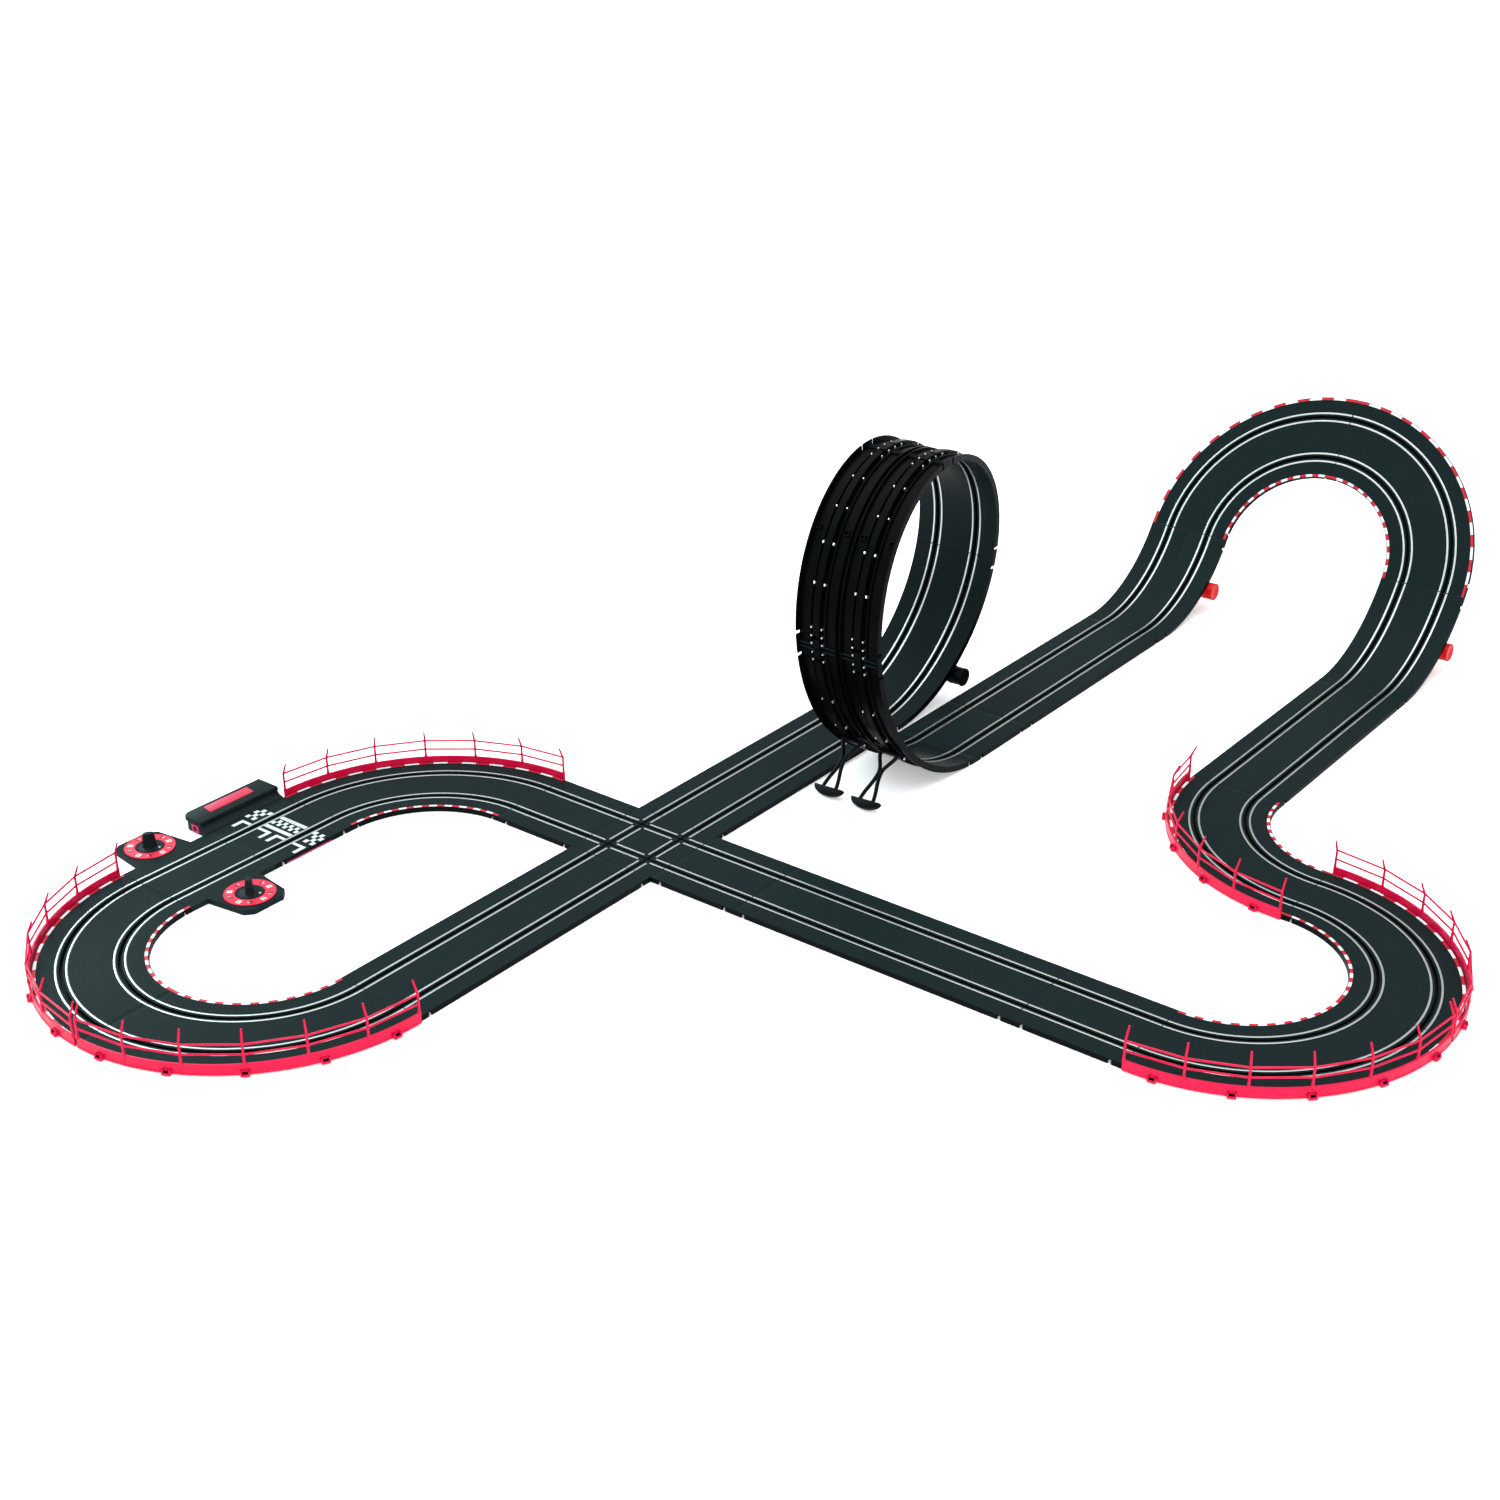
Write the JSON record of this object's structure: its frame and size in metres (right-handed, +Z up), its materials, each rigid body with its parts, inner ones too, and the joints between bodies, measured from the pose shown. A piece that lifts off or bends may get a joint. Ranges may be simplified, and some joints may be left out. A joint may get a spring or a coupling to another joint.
{
  "type": "slot car track set",
  "caption": "Two-lane slot car circuit of clip-together track pieces with a crossing, loop, banked curve, guard rails and lap counters",
  "frame": {"origin": "middle of the track crossing, on the floor the set stands on", "axes": "+Z up; +X from the crossing along the straight that leads to the loop; +Y along the crossing straight that leads to the start section"},
  "size_m": [1.7895, 1.3253, 0.3626],
  "materials": {
    "deck_black": "fine grained matt moulding",
    "gloss_black": "smooth satin to gloss moulding",
    "box_black": "fine satin moulding",
    "rail_red": "glossy coloured moulding",
    "jack_red": "satin coloured moulding",
    "label_red": "printed film",
    "conductor_steel": "plated strip, lightly worn",
    "print_white": "printed marking",
    "kerb_red": "printed marking"
  },
  "bodies": {
    "track": {"adapter_straight": "deck_black", "bank_clamp_north": "rail_red", "bank_clamp_south": "rail_red", "bank_curve_north": "deck_black", "bank_curve_south": "deck_black", "bank_ramp_north": "deck_black", "bank_ramp_south": "deck_black", "connecting_track": "deck_black", "counter_cover_inner": "box_black", "counter_cover_outer": "box_black", "crossing": "deck_black", "dial_ring_inner": "rail_red", "dial_ring_outer": "rail_red", "east_straight": "deck_black", "far_straight": "deck_black", "hairpin_curve_lower": "deck_black", "hairpin_curve_upper": "deck_black", "hairpin_guard_rail_lower": "rail_red", "hairpin_guard_rail_upper": "rail_red", "label_plate": "label_red", "lap_counter_track": "deck_black", "loop_clamp": "gloss_black", "loop_entry": "gloss_black", "loop_exit": "gloss_black", "loop_fall": "gloss_black", "loop_lead_in_straight": "deck_black", "loop_leg_north": "gloss_black", "loop_leg_south": "gloss_black", "loop_rise": "gloss_black", "north_third_straight": "deck_black", "power_jack": "jack_red", "return_straight": "deck_black", "right_curve_lower": "deck_black", "right_curve_upper": "deck_black", "right_guard_rail_lower": "rail_red", "right_guard_rail_upper": "rail_red", "s_curve": "deck_black", "s_guard_rail": "rail_red", "south_straight": "deck_black", "south_third_straight": "deck_black", "terminal_housing": "box_black", "terminal_lid": "box_black", "top_curve": "deck_black", "top_guard_rail": "rail_red", "west_straight": "deck_black"},
    "outer_counter": {"counter_knob_outer": "box_black", "ratchet_wheel_outer": "box_black"},
    "inner_counter": {"counter_knob_inner": "box_black", "ratchet_wheel_inner": "box_black"},
    "outer_lever": {"trip_lever_outer": "box_black"},
    "inner_lever": {"trip_lever_inner": "box_black"}
  },
  "joints": [
    {"name": "outer_counter_turn", "type": "hinge", "parent": "track", "child": "outer_counter", "pos_m": [-0.342, 0.425, 0.006], "axis": [0, 0, 1], "continuous": true},
    {"name": "inner_counter_turn", "type": "hinge", "parent": "track", "child": "inner_counter", "pos_m": [-0.342, 0.259, 0.006], "axis": [0, 0, 1], "continuous": true},
    {"name": "outer_lever_trip", "type": "hinge", "parent": "track", "child": "outer_lever", "pos_m": [-0.342, 0.388, 0.003], "axis": [0, 0, 1], "range_deg": [0, 18], "stiffness_Nm_per_rad": 0.002},
    {"name": "inner_lever_trip", "type": "hinge", "parent": "track", "child": "inner_lever", "pos_m": [-0.342, 0.296, 0.003], "axis": [0, 0, 1], "range_deg": [-18, 0], "stiffness_Nm_per_rad": 0.002}
  ]
}
